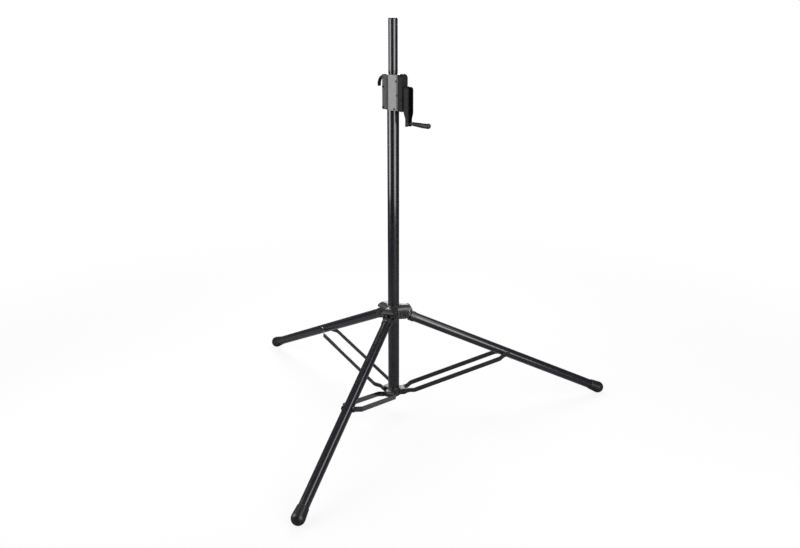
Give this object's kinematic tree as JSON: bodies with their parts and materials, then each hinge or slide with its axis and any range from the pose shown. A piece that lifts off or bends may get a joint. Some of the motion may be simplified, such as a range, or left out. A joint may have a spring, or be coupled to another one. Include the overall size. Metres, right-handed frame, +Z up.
{
  "type": "crank lighting stand",
  "caption": "Black wind-up lighting stand with a folding braced tripod base, a geared winding head with a fold-away crank grip, and a cable-raised round mast.",
  "frame": {"origin": "middle of the footprint's box on the floor; the mast stands 0.224 m in front of it", "axes": "+Z up the mast, +X the side of the crank, +Y to the left of the crank"},
  "size_m": [1.3942, 1.6022, 1.561],
  "materials": {
    "black_tube": "gloss",
    "black_casting": "satin",
    "head_metal": "semi-gloss paint",
    "dark_fastener": "blackened",
    "bright_steel": "machined",
    "steel_cable": "stranded",
    "brass": "machined",
    "black_plastic": "moulded",
    "grip_plastic": "satin",
    "rubber": "moulded"
  },
  "bodies": {
    "column": {"main_tube": "black_tube", "tube_end_plug": "black_plastic", "lower_collar": "black_casting", "collar_pivot_bolts": "dark_fastener", "head_housing": "head_metal", "flange_bolts": "dark_fastener", "housing_screws": "dark_fastener", "bearing_plate": "head_metal", "gearbox_cover": "black_casting", "cover_screws": "dark_fastener", "top_bush": "black_plastic", "shaft_bush": "brass", "drum_axle": "bright_steel", "pulley_axle": "bright_steel", "lever_pin": "dark_fastener", "lift_cable": "steel_cable", "cable_lead": "steel_cable"},
    "mast": {"mast_tube": "black_tube", "mast_cap": "black_plastic", "mast_plug": "black_plastic", "seat_ring": "dark_fastener", "stop_screw": "dark_fastener", "cable_ferrule": "bright_steel"},
    "drum": {"cable_drum": "bright_steel", "drum_gear": "bright_steel", "drum_winding": "steel_cable"},
    "pulley": {"cable_pulley": "bright_steel"},
    "crank": {"crank_shaft": "bright_steel", "drive_pinion": "bright_steel", "crank_arm": "black_casting", "crank_screw": "dark_fastener", "grip_pin": "dark_fastener"},
    "grip_arm": {"grip_spindle": "dark_fastener"},
    "grip": {"grip_sleeve": "grip_plastic", "grip_end_cap": "grip_plastic"},
    "lever": {"lock_lever": "black_casting"},
    "plunger": {"brake_plunger": "brass"},
    "hub": {"leg_hub": "black_casting", "hub_bush": "black_plastic", "leg_pivot_bolts": "dark_fastener"},
    "clamp": {"clamp_knob": "black_plastic", "clamp_screw": "bright_steel"},
    "left_leg": {"left_leg_tube": "black_tube", "left_leg_knuckle": "black_casting", "left_foot_cap": "rubber"},
    "left_brace": {"left_brace_bars": "black_tube", "left_brace_rivets": "dark_fastener"},
    "right_leg": {"right_leg_tube": "black_tube", "right_leg_knuckle": "black_casting", "right_foot_cap": "rubber"},
    "right_brace": {"right_brace_bars": "black_tube", "right_brace_rivets": "dark_fastener"},
    "rear_leg": {"rear_leg_tube": "black_tube", "rear_leg_knuckle": "black_casting", "rear_foot_cap": "rubber"},
    "rear_brace": {"rear_brace_bars": "black_tube", "rear_brace_rivets": "dark_fastener"}
  },
  "joints": [
    {"name": "crank_turn", "type": "hinge", "parent": "column", "child": "crank", "pos_m": [0.2999, 0, 1.303], "axis": [1, 0, 0], "range_deg": [0, 9360]},
    {"name": "mast_lift", "type": "slide", "parent": "column", "child": "mast", "axis": [0, 0, 1], "range_m": [0, 0.8985], "deforming": ["lift_cable"]},
    {"name": "drum_turn", "type": "hinge", "parent": "column", "child": "drum", "pos_m": [0.2492, 0, 1.2865], "axis": [1, 0, 0], "range_deg": [-4681, 0]},
    {"name": "pulley_turn", "type": "hinge", "parent": "column", "child": "pulley", "pos_m": [0.24855, 0.011, 1.331], "axis": [0, 1, 0], "range_deg": [0, 6316.8]},
    {"name": "grip_fold", "type": "hinge", "parent": "crank", "child": "grip_arm", "pos_m": [0.313, 0, 1.189], "axis": [0, -1, 0], "range_deg": [0, 90]},
    {"name": "grip_spin", "type": "hinge", "parent": "grip_arm", "child": "grip", "pos_m": [0.373, 0, 1.189], "axis": [1, 0, 0], "continuous": true},
    {"name": "lever_turn", "type": "hinge", "parent": "column", "child": "lever", "pos_m": [0.1807, 0, 1.35], "axis": [0, 1, 0], "range_deg": [0, 70]},
    {"name": "plunger_slide", "type": "slide", "parent": "column", "child": "plunger", "axis": [-1, 0, 0], "range_m": [0, 0.0006]},
    {"name": "hub_slide", "type": "slide", "parent": "column", "child": "hub", "axis": [0, 0, 1], "range_m": [0, 0.5931]},
    {"name": "clamp_turn", "type": "hinge", "parent": "hub", "child": "clamp", "pos_m": [0.1972, 0.04677, 0.41375], "axis": [-0.5, 0.866, 0], "range_deg": [0, 720]},
    {"name": "left_leg_fold", "type": "hinge", "parent": "hub", "child": "left_leg", "pos_m": [0.2447, 0.03551, 0.42075], "axis": [-0.866, 0.5, 0], "range_deg": [0, 57.1]},
    {"name": "left_brace_fold", "type": "hinge", "parent": "column", "child": "left_brace", "pos_m": [0.2442, 0.03464, 0.082], "axis": [0.866, -0.5, 0], "range_deg": [0, 64.29]},
    {"name": "right_leg_fold", "type": "hinge", "parent": "hub", "child": "right_leg", "pos_m": [0.2447, -0.03551, 0.42075], "axis": [0.866, 0.5, 0], "range_deg": [0, 57.1]},
    {"name": "right_brace_fold", "type": "hinge", "parent": "column", "child": "right_brace", "pos_m": [0.2442, -0.03464, 0.082], "axis": [-0.866, -0.5, 0], "range_deg": [0, 64.29]},
    {"name": "rear_leg_fold", "type": "hinge", "parent": "hub", "child": "rear_leg", "pos_m": [0.1832, 0, 0.42075], "axis": [0, -1, 0], "range_deg": [0, 57.1]},
    {"name": "rear_brace_fold", "type": "hinge", "parent": "column", "child": "rear_brace", "pos_m": [0.1842, 0, 0.082], "axis": [0, 1, 0], "range_deg": [0, 64.29]}
  ],
  "couplings": [
    {"joint": "mast_lift", "follows": "crank_turn", "m_per_rad": 0.0055},
    {"joint": "drum_turn", "follows": "crank_turn", "ratio": -0.5},
    {"joint": "pulley_turn", "follows": "crank_turn", "ratio": 0.67476},
    {"joint": "plunger_slide", "follows": "lever_turn", "m_per_rad": 0.00049111},
    {"joint": "left_leg_fold", "follows": "hub_slide", "rad_per_m": 1.6803},
    {"joint": "left_brace_fold", "follows": "hub_slide", "rad_per_m": 1.8918},
    {"joint": "right_leg_fold", "follows": "hub_slide", "rad_per_m": 1.6803},
    {"joint": "right_brace_fold", "follows": "hub_slide", "rad_per_m": 1.8918},
    {"joint": "rear_leg_fold", "follows": "hub_slide", "rad_per_m": 1.6803},
    {"joint": "rear_brace_fold", "follows": "hub_slide", "rad_per_m": 1.8918}
  ]
}
